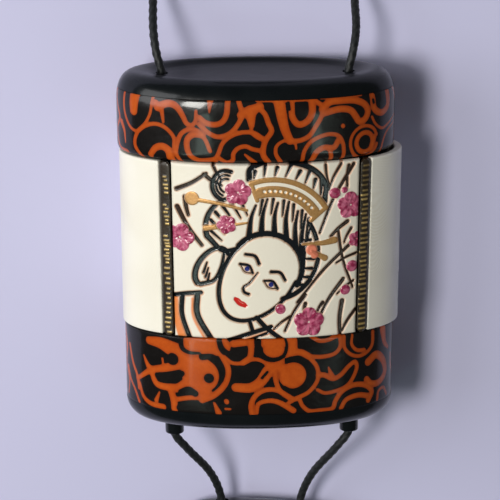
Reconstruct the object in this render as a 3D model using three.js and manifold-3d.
// An inro case: a small oval clay box that hangs on a cord, here lying on its back.
// Millimetres. +Z is up through the picture, +Y goes toward the lid, +X to the picture's right.
// The origin is under the middle of the case, on the surface it lies on.
import * as THREE from 'three';
import * as BufferGeometryUtils from 'three/addons/utils/BufferGeometryUtils.js';
import Module from 'manifold-3d';

const wasm = await Module();
wasm.setup();

// ---- Driving dimensions ----
const CASE_HEIGHT = 73.7; // foot to top of lid
const FOOT_EDGE = 4.2; // rounded black foot under the swirled band
const FOOT_BAND = 16.5; // height of the band round the foot
const WRAP_HEIGHT = 36.6; // height of the ivory part
const LID_BAND = 13.1; // height of the band round the lid
const BAND_HALF_WIDTH = 28.1; // both bands, the foot and the lid, half way up
const BAND_HALF_DEPTH = 14.9;
const WRAP_HALF_WIDTH = 28.75; // the ivory stands a little proud of the bands
const WRAP_HALF_DEPTH = 15.5;
const FLARE = 0.0004; // growth of every width for each millimetre toward the lid
const OVAL_POWER = 2.1; // 2 would be an ellipse
const VENEER = 1.2; // thickness of the swirled bands
const GAP = 0.3; // between pieces that touch
const LYING_FLAT = 0.25; // depth of the flat spot on the back

const WALL = 2.9; // black clay of the body, under its veneers
const FLOOR = 3.0;
const LIP_HEIGHT = 6.0; // the lip that the lid slides over
const LIP_WALL = 1.1;
const LID_PLAY = 0.6;
const LID_ROOF = 2.0;
const LID_SHIFT = -0.7; // the lid's outside sits this far to the left
const LID_HOLLOW_SHIFT = -0.3; // and its inside this far
const WRAP_SHIFT = 0.3; // the ivory sits a little to the right

const CORD_DIAMETER = 1.7;
// The cord's two channels through the case lean a little, as a hand has set them.
// Each has its x at the foot and at the top.
const CHANNELS = [[-17.9, -19.8], [18.9, 18.2]];
const CHANNEL_RADIUS = 1.3;
const TUBE_RADIUS = 1.95;
const COLLAR_LENGTH = 4.5; // how far the tubes stand out under the foot
const WEB = 1.8; // thickness of the web that joins a tube to the end wall

const PICTURE_SHIFT = 0.75; // the picture sits right of the middle
const BAR_SPAN = 20.0; // from the picture's middle to each bar
const BAR_LEAN = 0.3; // the bars stand further apart at the top than at the middle
const BAR_WIDTH = 2.0;
const BAR_PROUD = 0.45;
const GROOVE = 0.4; // depth of the cut lines

const SIDES = 44; // corners of every oval ring

// ---- Heights and the case's own places ----
const CENTRE_Z = WRAP_HALF_DEPTH - LYING_FLAT;
const FOOT_Y = COLLAR_LENGTH - (CASE_HEIGHT + COLLAR_LENGTH) / 2;
const WRAP_FOOT = FOOT_EDGE + FOOT_BAND;
const BODY_TOP = WRAP_FOOT + WRAP_HEIGHT;
const LID_EDGE = BODY_TOP + LID_BAND;
const WRAP_MIDDLE = WRAP_FOOT + WRAP_HEIGHT / 2;
const CORE_HALF_WIDTH = BAND_HALF_WIDTH - VENEER - GAP;
const CORE_HALF_DEPTH = BAND_HALF_DEPTH - VENEER - GAP;
const HOLLOW_HALF_WIDTH = CORE_HALF_WIDTH - WALL;
const HOLLOW_HALF_DEPTH = CORE_HALF_DEPTH - WALL;

// ---- Shaping functions ----
// A height over the foot as a place along Y.
const yAt = (height) => FOOT_Y + height;

// The half-width of an oval at a height: the case flares a little toward the lid.
const flared = (halfWidth, height) => halfWidth * (1 + FLARE * (height - CASE_HEIGHT / 2));

function ovalPoint(height, halfWidth, halfDepth, shift, angle) {
  const c = Math.cos(angle);
  const s = Math.sin(angle);
  const x = shift + flared(halfWidth, height) * Math.sign(c) * Math.abs(c) ** (2 / OVAL_POWER);
  const z = CENTRE_Z + halfDepth * Math.sign(s) * Math.abs(s) ** (2 / OVAL_POWER);
  return new THREE.Vector3(x, yAt(height), Math.max(z, 0));
}

function ovalRing(height, halfWidth, halfDepth, shift = 0) {
  const ring = [];
  for (let i = 0; i < SIDES; i++) {
    ring.push(ovalPoint(height, halfWidth, halfDepth, shift, (2 * Math.PI * i) / SIDES));
  }
  return ring;
}

// Six times the volume that a mesh closes in; below zero, its faces point in.
function signedVolume(geometry) {
  const position = geometry.attributes.position;
  const index = geometry.index.array;
  const [a, b, c] = [new THREE.Vector3(), new THREE.Vector3(), new THREE.Vector3()];
  let volume = 0;
  for (let i = 0; i < index.length; i += 3) {
    a.fromBufferAttribute(position, index[i]);
    b.fromBufferAttribute(position, index[i + 1]);
    c.fromBufferAttribute(position, index[i + 2]);
    volume += a.dot(b.cross(c));
  }
  return volume;
}

// A closed mesh from points and triangles, turned so that its faces point out.
function closedBody(points, triangles) {
  const geometry = new THREE.BufferGeometry().setFromPoints(points);
  geometry.setIndex(triangles);
  if (signedVolume(geometry) < 0) {
    for (let i = 0; i < triangles.length; i += 3) {
      [triangles[i + 1], triangles[i + 2]] = [triangles[i + 2], triangles[i + 1]];
    }
    geometry.setIndex(triangles);
  }
  return geometry;
}

// A skin over rings of equal length. Closed on itself, or with a fan over each end.
function loft(rings, closed) {
  const count = rings[0].length;
  const points = rings.flat();
  const triangles = [];
  const last = closed ? rings.length : rings.length - 1;
  for (let r = 0; r < last; r++) {
    const low = r * count;
    const high = ((r + 1) % rings.length) * count;
    for (let i = 0; i < count; i++) {
      const j = (i + 1) % count;
      triangles.push(low + i, low + j, high + j, low + i, high + j, high + i);
    }
  }
  if (!closed) {
    for (const [start, turned] of [[0, true], [(rings.length - 1) * count, false]]) {
      const middle = new THREE.Vector3();
      for (let i = 0; i < count; i++) middle.addScaledVector(points[start + i], 1 / count);
      points.push(middle);
      for (let i = 0; i < count; i++) {
        const j = (i + 1) % count;
        const edge = turned ? [start + j, start + i] : [start + i, start + j];
        triangles.push(...edge, points.length - 1);
      }
    }
  }
  return closedBody(points, triangles);
}

// A slab between two nets of points: top(u, v) and bottom(u, v), with u and v from 0 to 1.
function slab(columns, rows, top, bottom) {
  const rings = [];
  for (let c = 0; c <= columns; c++) {
    const ring = [];
    for (let r = 0; r <= rows; r++) ring.push(top(c / columns, r / rows));
    for (let r = rows; r >= 0; r--) ring.push(bottom(c / columns, r / rows));
    rings.push(ring);
  }
  const points = rings.flat();
  const count = 2 * (rows + 1);
  const triangles = [];
  for (let c = 0; c < columns; c++) {
    for (let i = 0; i < count; i++) {
      const j = (i + 1) % count;
      const [low, high] = [c * count, (c + 1) * count];
      triangles.push(low + i, low + j, high + j, low + i, high + j, high + i);
    }
  }
  for (const [start, turned] of [[0, true], [columns * count, false]]) {
    for (let r = 0; r < rows; r++) {
      const [a, b, c, d] = [start + r, start + r + 1, start + count - 2 - r, start + count - 1 - r];
      if (turned) triangles.push(a, c, b, a, d, c);
      else triangles.push(a, b, c, a, c, d);
    }
  }
  return closedBody(points, triangles);
}

function toSolid(geometry) {
  const bare = geometry.clone();
  bare.deleteAttribute('normal');
  bare.deleteAttribute('uv');
  const merged = BufferGeometryUtils.mergeVertices(bare, 1e-4);
  return new wasm.Manifold(new wasm.Mesh({
    numProp: 3,
    vertProperties: new Float32Array(merged.attributes.position.array),
    triVerts: new Uint32Array(merged.index.array),
  }));
}

function toGeometry(solid) {
  const mesh = solid.getMesh();
  const geometry = new THREE.BufferGeometry();
  geometry.setAttribute('position', new THREE.BufferAttribute(mesh.vertProperties, 3));
  geometry.setIndex(new THREE.BufferAttribute(mesh.triVerts, 1));
  return geometry;
}

// A round bar along one of the cord's channels, between two heights over the foot.
function channelBar([footX, topX], radius, low, high) {
  const lean = (topX - footX) / CASE_HEIGHT;
  const middle = (low + high) / 2;
  const barSolid = new THREE.CylinderGeometry(radius, radius, high - low, 12);
  barSolid.applyMatrix4(new THREE.Matrix4().makeShear(0, 0, lean, 0, 0, 0));
  barSolid.translate(footX + lean * middle, yAt(middle), CENTRE_Z);
  return toSolid(barSolid);
}

const group = new THREE.Group();

function add(name, geometry, color, roughness = 0.3, metalness = 0) {
  const material = new THREE.MeshStandardMaterial({ color, roughness, metalness });
  const mesh = new THREE.Mesh(geometry, material);
  mesh.name = name;
  group.add(mesh);
}

const BLACK_CLAY = 0x15181a;
const SWIRL_CLAY = 0xb85526;
const IVORY_CLAY = 0xf3ecd8;
const BAR_CLAY = 0x4a3826;
const CORD_BLACK = 0x101012;

// ---- Case body: a vessel with a rounded foot, a lip, and two cord tubes ----
function caseBody() {
  const rings = [];
  const edgeSteps = 5;
  for (let i = 0; i <= edgeSteps; i++) {
    const turn = (Math.PI / 2) * (i / edgeSteps);
    const inset = FOOT_EDGE * (1 - Math.sin(turn));
    const height = FOOT_EDGE * (1 - Math.cos(turn));
    rings.push(ovalRing(height, BAND_HALF_WIDTH - inset, BAND_HALF_DEPTH - inset));
  }
  const lipWidth = HOLLOW_HALF_WIDTH + LIP_WALL;
  const lipDepth = HOLLOW_HALF_DEPTH + LIP_WALL;
  const lipTop = BODY_TOP + LIP_HEIGHT;
  const corner = 1.6;
  rings.push(
    ovalRing(FOOT_EDGE, CORE_HALF_WIDTH, CORE_HALF_DEPTH),
    ovalRing(BODY_TOP, CORE_HALF_WIDTH, CORE_HALF_DEPTH),
    ovalRing(BODY_TOP, lipWidth, lipDepth),
    ovalRing(lipTop, lipWidth, lipDepth),
    ovalRing(lipTop, HOLLOW_HALF_WIDTH, HOLLOW_HALF_DEPTH),
    ovalRing(FLOOR + corner, HOLLOW_HALF_WIDTH, HOLLOW_HALF_DEPTH),
    ovalRing(FLOOR, HOLLOW_HALF_WIDTH - corner, HOLLOW_HALF_DEPTH - corner),
  );
  let body = toSolid(loft(rings, false));
  for (const channel of CHANNELS) {
    const side = Math.sign(channel[0]);
    const webStart = (Math.abs(channel[0]) + Math.abs(channel[1])) / 2;
    const webEnd = HOLLOW_HALF_WIDTH + LIP_WALL / 2;
    const web = new THREE.BoxGeometry(webEnd - webStart, lipTop - FLOOR / 2, WEB);
    web.translate((side * (webEnd + webStart)) / 2, yAt((lipTop + FLOOR / 2) / 2), CENTRE_Z);
    body = body.add(toSolid(web)).add(channelBar(channel, TUBE_RADIUS, -COLLAR_LENGTH, lipTop));
  }
  for (const channel of CHANNELS) {
    body = body.subtract(channelBar(channel, CHANNEL_RADIUS, -COLLAR_LENGTH - 1, lipTop + 1));
  }
  return toGeometry(body);
}
add('case_body', caseBody(), BLACK_CLAY, 0.15);

// ---- Lid: a black cap with a hollowed top, that lifts off ----
function lidCap() {
  const insideWidth = HOLLOW_HALF_WIDTH + LIP_WALL + LID_PLAY;
  const insideDepth = HOLLOW_HALF_DEPTH + LIP_WALL + LID_PLAY;
  const rim = BODY_TOP + GAP;
  const dish = 0.8; // how far the middle of the top is sunk
  const dishRim = [20.8, 10.9];
  const dishStep = 1.3;
  const edge = CASE_HEIGHT - LID_EDGE;
  const ceiling = CASE_HEIGHT - dish - LID_ROOF;
  const corner = 1.5;
  const rings = [
    ovalRing(ceiling, insideWidth - corner, insideDepth - corner, LID_HOLLOW_SHIFT),
    ovalRing(ceiling - corner, insideWidth, insideDepth, LID_HOLLOW_SHIFT),
    ovalRing(rim, insideWidth, insideDepth, LID_HOLLOW_SHIFT),
    ovalRing(rim, CORE_HALF_WIDTH, CORE_HALF_DEPTH, LID_SHIFT),
    ovalRing(LID_EDGE, CORE_HALF_WIDTH, CORE_HALF_DEPTH, LID_SHIFT),
  ];
  const edgeSteps = 5;
  for (let i = 0; i <= edgeSteps; i++) {
    const turn = (Math.PI / 2) * (i / edgeSteps);
    const inset = edge * (1 - Math.cos(turn));
    const height = LID_EDGE + edge * Math.sin(turn);
    rings.push(ovalRing(height, BAND_HALF_WIDTH - inset, BAND_HALF_DEPTH - inset, LID_SHIFT));
  }
  rings.push(
    ovalRing(CASE_HEIGHT - dish / 3, dishRim[0], dishRim[1], LID_SHIFT),
    ovalRing(CASE_HEIGHT - dish, dishRim[0] - dishStep, dishRim[1] - dishStep, LID_SHIFT),
  );
  let lid = toSolid(loft(rings, false));
  for (const channel of CHANNELS) {
    lid = lid.subtract(channelBar(channel, CHANNEL_RADIUS, ceiling - 1, CASE_HEIGHT + 1));
  }
  return toGeometry(lid);
}
add('lid_cap', lidCap(), BLACK_CLAY, 0.15);

// ---- Swirled bands: thin sleeves round the foot and round the lid ----
function sleeve(low, high, shift) {
  const inner = [BAND_HALF_WIDTH - VENEER, BAND_HALF_DEPTH - VENEER];
  return loft([
    ovalRing(low, BAND_HALF_WIDTH, BAND_HALF_DEPTH, shift),
    ovalRing(high, BAND_HALF_WIDTH, BAND_HALF_DEPTH, shift),
    ovalRing(high, ...inner, shift),
    ovalRing(low, ...inner, shift),
  ], true);
}
add('foot_band', sleeve(FOOT_EDGE + GAP, WRAP_FOOT - GAP / 2, 0), SWIRL_CLAY, 0.2);
add('lid_band', sleeve(BODY_TOP + GAP, LID_EDGE - GAP, LID_SHIFT), SWIRL_CLAY, 0.2);

// ---- Ivory wrap, picture tile and bars ----
const WRAP_LOW = WRAP_FOOT + GAP / 2;
const WRAP_HIGH = BODY_TOP;
const wrapHeight = (v) => WRAP_LOW + (WRAP_HIGH - WRAP_LOW) * v;

// Where a bar's middle line is at a height.
function seamX(side, height) {
  const lean = (BAR_LEAN * (height - WRAP_MIDDLE)) / (WRAP_HEIGHT / 2);
  return PICTURE_SHIFT + side * (BAR_SPAN + lean);
}

// How high the front of an oval is over x, over the case's middle plane.
function frontZ(x, height, halfWidth, halfDepth, shift) {
  const across = Math.abs((x - shift) / flared(halfWidth, height));
  return CENTRE_Z + halfDepth * (1 - across ** OVAL_POWER) ** (1 / OVAL_POWER);
}
const faceZ = (x, height) => frontZ(x, height, WRAP_HALF_WIDTH, WRAP_HALF_DEPTH, WRAP_SHIFT);
const backingZ = (x, height) => (
  frontZ(x, height, CORE_HALF_WIDTH + GAP, CORE_HALF_DEPTH + GAP, 0)
);

function ivoryWrap() {
  const reach = BAR_WIDTH / 2 + GAP;
  // Both ends of the sheet stand straight up beside the bars.
  const angleAt = (x, height, halfWidth, shift) => {
    const across = (x - shift) / flared(halfWidth, height);
    return Math.acos(Math.sign(across) * Math.abs(across) ** (OVAL_POWER / 2));
  };
  const point = (u, v, halfWidth, halfDepth, shift) => {
    const height = wrapHeight(v);
    const start = angleAt(seamX(1, height) + reach, height, halfWidth, shift);
    const end = angleAt(seamX(-1, height) - reach, height, halfWidth, shift) - 2 * Math.PI;
    return ovalPoint(height, halfWidth, halfDepth, shift, start + (end - start) * u);
  };
  return slab(
    44,
    1,
    (u, v) => point(u, v, WRAP_HALF_WIDTH, WRAP_HALF_DEPTH, WRAP_SHIFT),
    (u, v) => point(u, v, CORE_HALF_WIDTH + GAP, CORE_HALF_DEPTH + GAP, 0),
  );
}
add('ivory_wrap', ivoryWrap(), IVORY_CLAY, 0.3);

// A bar is a thin strip with rounded ends and a low round back.
function bar(side) {
  const rows = 8;
  const endRounding = 1.0;
  const half = (v) => {
    const fromEnd = Math.min(v, 1 - v) * (WRAP_HIGH - WRAP_LOW);
    const short = Math.max(0, endRounding - fromEnd) / endRounding;
    return (BAR_WIDTH / 2) * Math.sqrt(Math.max(0.16, 1 - short * short));
  };
  // Rows crowd together at both ends, where the strip is rounded.
  const spread = (v) => (1 - Math.cos(Math.PI * v)) / 2;
  const place = (u, v) => {
    const height = wrapHeight(spread(v));
    return [seamX(side, height) + (2 * u - 1) * half(spread(v)), height];
  };
  return slab(
    4,
    rows,
    (u, v) => {
      const [x, height] = place(u, v);
      const rise = BAR_PROUD * Math.sin(Math.PI * (0.15 + 0.7 * u));
      return new THREE.Vector3(x, yAt(height), faceZ(x, height) + rise);
    },
    (u, v) => {
      const [x, height] = place(u, v);
      return new THREE.Vector3(x, yAt(height), backingZ(x, height));
    },
  );
}
add('bar_left', bar(-1), BAR_CLAY, 0.4);
add('bar_right', bar(1), BAR_CLAY, 0.4);

// ---- The lady's picture, as lines cut into the tile ----
// Places in the picture are x, y from its middle. The lady's head leans to its left.
const HEAD = [-1.6, -5.2];
const HEAD_TILT = THREE.MathUtils.degToRad(35);
const FACE_HALF_WIDTH = 7.1;
const FACE_HALF_HEIGHT = 10.2;
const rad = THREE.MathUtils.degToRad;

// A place beside and above the middle of the face, along the leaning head.
function onHead(side, up) {
  const [c, s] = [Math.cos(HEAD_TILT), Math.sin(HEAD_TILT)];
  return [HEAD[0] + side * c + up * s, HEAD[1] - side * s + up * c];
}
const between = (p, q, u) => [p[0] + (q[0] - p[0]) * u, p[1] + (q[1] - p[1]) * u];
const steps = (count, place) => Array.from({ length: count + 1 }, (_, i) => place(i / count));

// Curves of the head: each gives a place for u from 0 to 1.
const headArc = (side, up, across, tall, from, to) => (u) => {
  const angle = rad(from + (to - from) * u);
  return onHead(side + across * Math.cos(angle), up + tall * Math.sin(angle));
};
const jaw = (u) => {
  const angle = rad(-205 + 228 * u);
  const wide = FACE_HALF_WIDTH * (1 + 0.1 * Math.sin(angle));
  return onHead(wide * Math.cos(angle), FACE_HALF_HEIGHT * Math.sin(angle));
};
const hairline = headArc(0.2, 2.6, 7.3, 6.0, 168, 12);
const combFoot = headArc(-2.2, 3.6, 10.2, 10.2, 126, 58);
const combTop = headArc(-2.2, 3.6, 14.0, 14.0, 132, 52);
const bun = headArc(-5.2, 11.5, 9.6, 10.2, 158, 26);
const leftWing = headArc(-9.6, 6.2, 6.6, 6.2, 75, 225);
const rightWing = headArc(5.6, 4.6, 4.6, 7.0, 80, -70);

// Every line: its points, its width, and how much of that width it has at each end.
function pictureLines() {
  const lines = [];
  const draw = (points, width, from = 1, to = 1) => lines.push({ points, width, from, to });
  draw(steps(11, jaw), 1.0);
  draw(steps(8, hairline), 1.1);
  for (let k = 0; k < 8; k++) {
    const u = (k + 0.6) / 8.2;
    const root = hairline(0.1 + 0.84 * u);
    const tip = combFoot(u);
    draw([root, between(root, tip, 0.84)], 0.95, 1.2, 0.45);
  }
  draw(steps(6, (u) => bun(0.32 + 0.68 * u)), 0.95);
  for (let k = 0; k < 8; k++) {
    const u = (k + 0.7) / 8.4;
    const root = combTop(u);
    const tip = bun(0.26 + 0.7 * u);
    draw([between(root, tip, 0.15), between(root, tip, k % 2 ? 0.9 : 0.62)], 0.7, 0.6, 1.2);
  }
  for (const edge of [combFoot, combTop]) draw(steps(6, edge), 0.4);
  draw(steps(6, leftWing), 0.9);
  for (let k = 0; k < 4; k++) {
    const tip = leftWing(0.22 + 0.2 * k);
    const root = onHead(-6.4, 6.2 - 1.1 * k);
    draw([between(tip, root, 0.12), between(tip, root, 0.62)], 0.65, 1.2, 0.5);
  }
  for (const radius of [2.9, 1.9]) {
    draw(steps(5, headArc(-13.6, 12.6, 0.9 * radius, radius, 30, 235)), 0.62);
  }
  draw(steps(6, headArc(-8.6, -4.6, 2.6, 4.4, 75, 262)), 1.0);
  for (let k = 0; k < 3; k++) {
    draw([onHead(-9.9 + 0.75 * k, -4.2 - 1.1 * k), onHead(-9.2 + 0.75 * k, -6.2 - 0.6 * k)], 0.5);
  }
  draw(steps(6, rightWing), 0.9);
  for (let k = 0; k < 5; k++) {
    const tip = rightWing(0.16 + 0.17 * k);
    const root = onHead(7.3, 6.6 - 1.9 * k);
    draw([between(tip, root, 0.14), between(tip, root, 0.8)], 0.6, 0.6, 1.1);
  }
  for (const side of [-1, 1]) {
    const brow = [[1.5, 2.5], [3.1, 3.35], [4.9, 2.6]];
    const eyelid = [[1.45, 0.2], [2.9, 0.95], [4.6, 0.3]];
    draw(brow.map(([out, up]) => onHead(side * out, up)), 0.62, 0.7, 0.7);
    draw(eyelid.map(([out, up]) => onHead(side * out, up)), 0.5, 0.7, 0.8);
  }
  const nose = [[-0.65, 0.6], [-0.8, -2], [-1.25, -3.4], [-0.55, -4.1], [0.45, -3.95]];
  draw(nose.map(([side, up]) => onHead(side, up)), 0.42);
  // Collar and sleeves of the robe.
  draw([[-18.2, -9.5], [-16.2, -9], [-13.4, -8.7]], 0.85);
  draw([[-16.9, -9.3], [-17, -13.4], [-15.6, -17.8]], 0.95);
  draw([[-13.9, -9.2], [-13.9, -13.2], [-11.3, -17.8]], 1.1);
  draw([[-1.9, -13.7], [0.2, -16], [3, -17.8]], 0.95);
  draw([[-3.4, -14.2], [-2.6, -16.9]], 0.75);
  draw([[-7, -17.8], [-2.8, -16.9], [1, -15.7]], 0.9);
  // Twigs behind the head.
  const twigs = [
    [-17.9, 12.9, -12, 16.4], [-12.4, 16.2, -9, 14], [-16.2, 11.4, -15.6, 7.6], [-17.6, 9.2, -12.9, 1.6],
    [12.2, 17.6, 12.9, 13.2], [15.2, 17.6, 12.7, 12.6], [17.4, 17.4, 10.9, 4.6], [16.6, 5.7, 13.2, 2.9],
    [14.6, 4.4, 17.6, -8.4], [17.8, 1.6, 6.6, -10.4], [15.8, -6.4, 11, -13.8], [8, -9.2, 3.9, -16.4],
    [15.6, -11, 15.2, -17.7], [17.9, -13.4, 15.6, -17.2],
  ];
  for (const [x0, y0, x1, y1] of twigs) draw([[x0, y0], [x1, y1]], 0.7, 1.1, 0.8);
  // Long pins with round heads.
  draw([[-14.4, 10.6], [-2.6, 8.3]], 0.8);
  draw([[-11.4, 4.8], [-3.4, 6.4]], 0.7);
  return lines;
}

// Round and five-petalled shapes: x, y, radius, turn in degrees, petals (none for a round one).
const BLOSSOMS = [
  [-5, 12.4, 2.6, 10, 5], [-7.2, 5.6, 1.9, 40, 5], [-15.6, 2.6, 2.6, 0, 5], [15.9, 9, 2.5, 20, 5],
  [9.6, -14.6, 2.9, 15, 5], [13.9, 12, 1.1, 0, 0], [16.6, -4.6, 1.1, 0, 0], [15.6, -9.6, 1.1, 0, 0],
  [4, -12.3, 1.1, 0, 0], [-14.4, 10.6, 1.4, 0, 0], [10.6, -0.4, 1.5, 0, 0],
];
const PICTURE_Y = yAt(WRAP_MIDDLE);
const ABOVE_TILE = CENTRE_Z + WRAP_HALF_DEPTH + 2;
const BELOW_TILE = CENTRE_Z + 4;

// The body that cuts one line: a ribbon, as wide as the line, that stands upright in the tile.
function lineCutter({ points, width, from, to }) {
  const path = new THREE.CatmullRomCurve3(points.map(([x, y]) => new THREE.Vector3(x, y, 0)));
  const pieces = points.length > 2 ? Math.max(points.length - 1, 3) : 1;
  const at = (u, v, z) => {
    const middle = path.getPoint(v);
    const along = path.getTangent(v);
    const end = pieces > 1 && (v === 0 || v === 1) ? 0.6 : 1;
    const half = (width / 2) * (from + (to - from) * v) * end;
    const side = (2 * u - 1) * half;
    return new THREE.Vector3(
      PICTURE_SHIFT + middle.x - along.y * side,
      PICTURE_Y + middle.y + along.x * side,
      z,
    );
  };
  return toSolid(slab(1, pieces, (u, v) => at(u, v, ABOVE_TILE), (u, v) => at(u, v, BELOW_TILE)));
}

function blossomCutter([x, y, radius, turn, petals]) {
  const corners = petals ? 15 : 8;
  const outline = new THREE.Shape();
  for (let i = 0; i < corners; i++) {
    const angle = (2 * Math.PI * i) / corners;
    const lobe = petals ? 0.78 + 0.22 * Math.abs(Math.cos((petals * angle) / 2)) : 1;
    const direction = angle + rad(turn);
    const [px, py] = [lobe * radius * Math.cos(direction), lobe * radius * Math.sin(direction)];
    if (i === 0) outline.moveTo(px, py);
    else outline.lineTo(px, py);
  }
  const depth = ABOVE_TILE - BELOW_TILE;
  const body = new THREE.ExtrudeGeometry(outline, { depth, bevelEnabled: false });
  body.translate(PICTURE_SHIFT + x, PICTURE_Y + y, BELOW_TILE);
  return toSolid(body);
}

// The tile, or the part of it under the cut lines when sunk is over zero.
function tileBody(sunk, grown) {
  const place = (u, v) => {
    const height = wrapHeight(v) + (2 * v - 1) * grown;
    const reach = BAR_WIDTH / 2 + GAP - grown;
    const [left, right] = [seamX(-1, height) + reach, seamX(1, height) - reach];
    return [left + (right - left) * u, height];
  };
  const net = (surface, lower) => (u, v) => {
    const [x, height] = place(u, v);
    return new THREE.Vector3(x, yAt(height), surface(x, height) - lower);
  };
  return toSolid(slab(10, 1, net(faceZ, sunk), net(backingZ, grown)));
}

function pictureTile() {
  const cutters = [...pictureLines().map(lineCutter), ...BLOSSOMS.map(blossomCutter)];
  const cut = wasm.Manifold.union(cutters).subtract(tileBody(GROOVE, 1));
  return toGeometry(tileBody(0, 0).subtract(cut));
}
add('picture_tile', pictureTile(), IVORY_CLAY, 0.3);

// ---- Bead under the case: a flat oval of dark clay, with two bores for the cord's ends ----
const BEAD_HALF = [18.5, 8.5, 6.5];
const BEAD_PLACE = [0, -66.9];
const BEAD_TURN = rad(-4);
const BEAD_POWER = 3; // its outline is fuller than an ellipse
const BEAD_BORES = [-7.6, 9.0];
const BEAD_BORE_RADIUS = 1.45;
const BEAD_SIDES = 26;

function cordBead() {
  const [width, height, depth] = BEAD_HALF;
  const rings = [];
  for (const level of [-1, -0.85, -0.5, 0, 0.5, 0.85, 1]) {
    const grown = Math.max(0.6, (1 - Math.abs(level) ** 2.6) ** (1 / 2.6));
    const ring = [];
    for (let i = 0; i < BEAD_SIDES; i++) {
      const angle = (2 * Math.PI * i) / BEAD_SIDES;
      const [c, s] = [Math.cos(angle), Math.sin(angle)];
      const inset = (1 - grown) * height;
      ring.push(new THREE.Vector3(
        (width - inset) * Math.sign(c) * Math.abs(c) ** (2 / BEAD_POWER),
        (height - inset) * Math.sign(s) * Math.abs(s) ** (2 / BEAD_POWER),
        depth * (1 + level),
      ));
    }
    rings.push(ring);
  }
  const outside = loft(rings, false);
  outside.rotateZ(BEAD_TURN);
  outside.translate(BEAD_PLACE[0], BEAD_PLACE[1], 0);
  let bead = toSolid(outside);
  for (const x of BEAD_BORES) {
    const bore = new THREE.CylinderGeometry(BEAD_BORE_RADIUS, BEAD_BORE_RADIUS, 4 * height, 10);
    bore.translate(x, BEAD_PLACE[1], depth);
    bead = bead.subtract(toSolid(bore));
  }
  return toGeometry(bead);
}
add('cord_bead', cordBead(), BLACK_CLAY, 0.15);

// ---- Cord: one length, from a knot under the bead up one side and down the other ----
// Its middle is put away in a coil past the lid. Each stretch runs from its knot through the bead
// and the case and down to the coil.
const COIL_PLACE = [0, 74];
const COIL_RADIUS = 9.35; // 11 cord diameters across, at the middle of the turns
const COIL_BASE = 0.45; // the tie's thread passes under it
const COIL_ACROSS = 3; // turns side by side
const COIL_LAYERS = 4;
const TURN_PITCH = 1.75;
const LAYER_PITCH = 1.6;
const CORD_LEFT = [
  [-7.5, -82, 3.1], [-7.6, -78.4, 5.6], [-7.6, -74.6, 6.5], [-7.6, -59.6, 6.5], [-8.2, -55.6, 7.2],
  [-10.4, -50, 10.1], [-15.2, -43.2, 14.2], [-17.8, -39.4, 15.25], [-17.9, -35, 15.25],
  [-19.65, 33.5, 15.25], [-19.8, 38.2, 15.25], [-20.9, 42.6, 14.8], [-21.4, 46.6, 12.6],
  [-21.4, 50.8, 9.1], [-21.2, 55.3, 5], [-19.8, 59.4, 2.2], [-16.4, 62.2, 1], [-12, 62.9, 0.85],
  [-7.4, 62.9, 0.85],
];
const CORD_RIGHT = [
  [8.9, -82.3, 3.1], [9, -78.6, 5.6], [9, -75.2, 6.5], [9, -60.4, 6.5], [9.6, -56.6, 7.1],
  [11.7, -50.8, 9.9], [16.6, -43.2, 14.2], [18.9, -39.4, 15.25], [18.9, -35, 15.25],
  [18.25, 33.5, 15.25], [18.2, 38.2, 15.25], [19.2, 42.6, 14.8], [19.9, 46.6, 12.6],
  [19.9, 50.8, 9.1], [19.8, 54.6, 5.6], [19, 58, 2.5], [17.2, 60.4, 1.1], [14.2, 62.1, 1.3],
  [10.4, 63.4, 3.6],
];

function cordTube(route) {
  const path = new THREE.CatmullRomCurve3(route.map((place) => new THREE.Vector3(...place)));
  const section = new THREE.Shape();
  for (let i = 0; i < 8; i++) {
    const angle = (2 * Math.PI * (i + 0.5)) / 8;
    const [x, y] = [(CORD_DIAMETER / 2) * Math.cos(angle), (CORD_DIAMETER / 2) * Math.sin(angle)];
    if (i === 0) section.moveTo(x, y);
    else section.lineTo(x, y);
  }
  return new THREE.ExtrudeGeometry(section, { steps: 36, extrudePath: path, bevelEnabled: false });
}
add('cord_left', cordTube(CORD_LEFT), CORD_BLACK, 0.8);
add('cord_right', cordTube(CORD_RIGHT), CORD_BLACK, 0.8);

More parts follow.
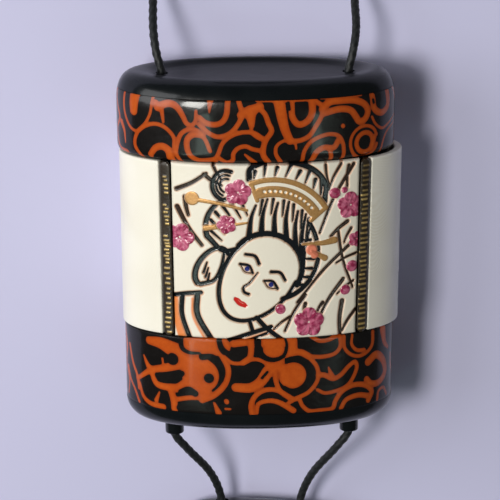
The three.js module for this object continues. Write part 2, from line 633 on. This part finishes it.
const COIL_WIDE = (COIL_ACROSS - 1) * TURN_PITCH + CORD_DIAMETER;
const COIL_TALL = (COIL_LAYERS - 1) * LAYER_PITCH + CORD_DIAMETER;

function cordCoil() {
  const [low, high] = [COIL_BASE, COIL_BASE + COIL_TALL];
  const [near, far] = [COIL_RADIUS - COIL_WIDE / 2, COIL_RADIUS + COIL_WIDE / 2];
  const soft = 0.6; // rounding of the ring's edges
  const profile = [
    [near, low + soft], [near + soft, low], [far - soft, low], [far, low + soft],
    [far, high - soft], [far - soft, high], [near + soft, high], [near, high - soft], [near, low + soft],
  ].map(([x, y]) => new THREE.Vector2(x, y));
  const ring = new THREE.LatheGeometry(profile, 28);
  ring.rotateX(Math.PI / 2);
  ring.translate(COIL_PLACE[0], COIL_PLACE[1], 0);
  return ring;
}
add('cord_coil', cordCoil(), CORD_BLACK, 0.8);

// The tie is a bridge of thread over the far side of the coil.
function cordTie() {
  const thick = 0.6;
  const [near, far] = [COIL_RADIUS - COIL_WIDE / 2 - GAP, COIL_RADIUS + COIL_WIDE / 2 + GAP];
  const top = COIL_BASE + COIL_TALL + GAP;
  const outline = new THREE.Shape([
    [near - thick, 0], [near, 0], [near, top], [far, top], [far, 0], [far + thick, 0],
    [far + thick, top + thick], [near - thick, top + thick],
  ].map(([x, y]) => new THREE.Vector2(x, y)));
  const wide = 3;
  const bridge = new THREE.ExtrudeGeometry(outline, { depth: wide, bevelEnabled: false });
  bridge.translate(0, 0, -wide / 2);
  bridge.rotateX(Math.PI / 2);
  bridge.rotateZ(Math.PI / 2);
  bridge.translate(COIL_PLACE[0], COIL_PLACE[1], 0);
  return bridge;
}
add('cord_tie', cordTie(), 0x2a2420, 0.8);

const KNOT_RADIUS = 2.2;
const KNOTS = { knot_left: [-7.4, -84.5], knot_right: [8.8, -84.8] };
for (const [name, [x, y]] of Object.entries(KNOTS)) {
  const knot = new THREE.SphereGeometry(KNOT_RADIUS, 10, 6);
  knot.scale(1, 1.1, 1);
  knot.translate(x, y, KNOT_RADIUS + 0.05);
  add(name, knot, CORD_BLACK, 0.8);
}

export default group;
